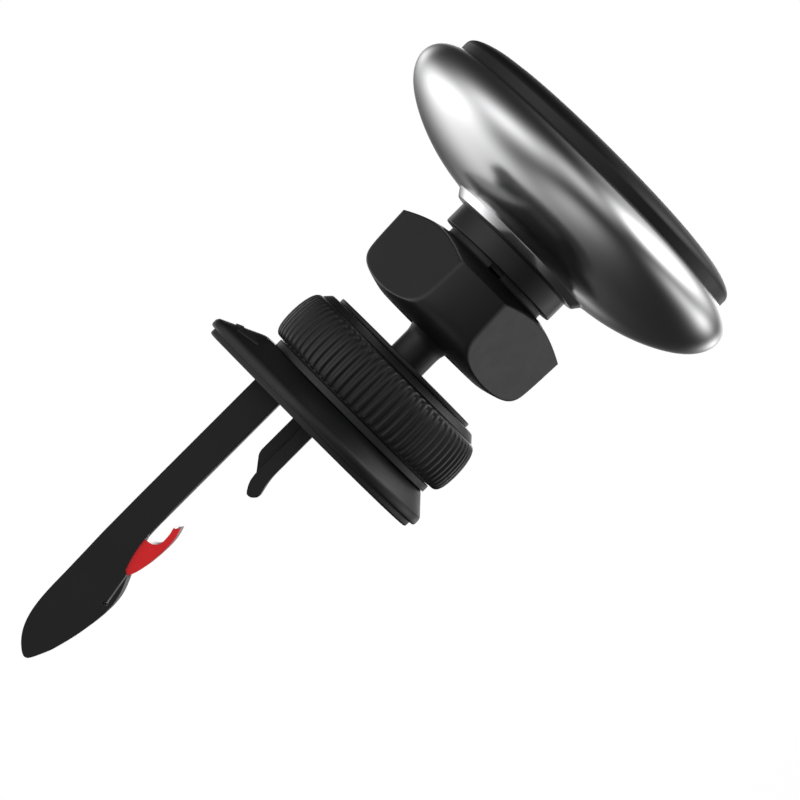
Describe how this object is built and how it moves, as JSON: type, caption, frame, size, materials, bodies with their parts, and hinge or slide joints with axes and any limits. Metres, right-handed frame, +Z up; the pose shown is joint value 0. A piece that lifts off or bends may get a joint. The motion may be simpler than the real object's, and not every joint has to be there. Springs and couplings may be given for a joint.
{
  "type": "car phone mount",
  "caption": "Vent-clip car phone mount: hook arm drawn in by a ribbed knob, ball joint with a clamping nut, and a round magnetic phone disc in a domed metal shell.",
  "frame": {"origin": "the point where the mount's axis meets the gasket's face against the vent", "axes": "+Y into the vent, -Y towards the phone and the driver, +Z up with the hook arm above the axis, X across the slat"},
  "size_m": [0.0624, 0.1138, 0.0624],
  "materials": {
    "black_plastic": "moulded, soft-touch matte",
    "inner_plastic": "moulded, plain",
    "grip_rubber": "ribbed, matte",
    "gasket_rubber": "smooth silicone sheet",
    "red_silicone": "smooth, semi-gloss",
    "chrome": "satin chrome plating",
    "cushion": "plain",
    "steel": "zinc-plated, plain",
    "magnet": "nickel-plated",
    "adhesive": "double-sided film",
    "black_metal": "black painted, satin"
  },
  "bodies": {
    "clip": {"base_plate": "black_plastic", "vent_gasket": "gasket_rubber", "support_foot": "black_plastic", "glide_ring": "inner_plastic", "guide_column": "inner_plastic", "front_cap": "black_plastic", "clip_screws": "steel"},
    "thumbwheel": {"knob_core": "inner_plastic", "knob_grip": "grip_rubber", "knob_ring": "black_plastic"},
    "hook": {"hook_arm": "black_plastic", "hook_tip": "red_silicone", "hook_spine": "steel"},
    "stud": {"ball_stud": "black_metal"},
    "cushion": {"ball_cushion": "cushion"},
    "head": {"ball_socket": "inner_plastic", "rear_collar": "black_metal", "head_shell": "chrome", "magnet_tray": "black_plastic", "head_screws": "steel", "ring_magnets": "magnet", "shield_plate": "steel", "pad_adhesive": "adhesive", "face_pad": "gasket_rubber"},
    "nut": {"ball_nut": "black_plastic"}
  },
  "joints": [
    {"name": "knob_turn", "type": "hinge", "parent": "clip", "child": "thumbwheel", "pos_m": [0, -0.011, 0], "axis": [0, 1, 0], "range_deg": [0, 810]},
    {"name": "hook_slide", "type": "slide", "parent": "clip", "child": "hook", "axis": [0, -1, 0], "range_m": [0, 0.00562]},
    {"name": "ball_pan", "type": "hinge", "parent": "clip", "child": "stud", "pos_m": [0, -0.0306, 0], "axis": [0, 1, 0], "continuous": true},
    {"name": "ball_tilt", "type": "hinge", "parent": "stud", "child": "cushion", "pos_m": [0, -0.0306, 0], "axis": [1, 0, 0], "range_deg": [-25, 25]},
    {"name": "head_spin", "type": "hinge", "parent": "cushion", "child": "head", "pos_m": [0, -0.0306, 0], "axis": [0, 1, 0], "continuous": true},
    {"name": "nut_turn", "type": "hinge", "parent": "head", "child": "nut", "pos_m": [0, -0.0306, 0], "axis": [0, 1, 0], "range_deg": [0, 300]}
  ],
  "couplings": [
    {"joint": "hook_slide", "follows": "knob_turn", "m_per_rad": 0.00039789}
  ]
}
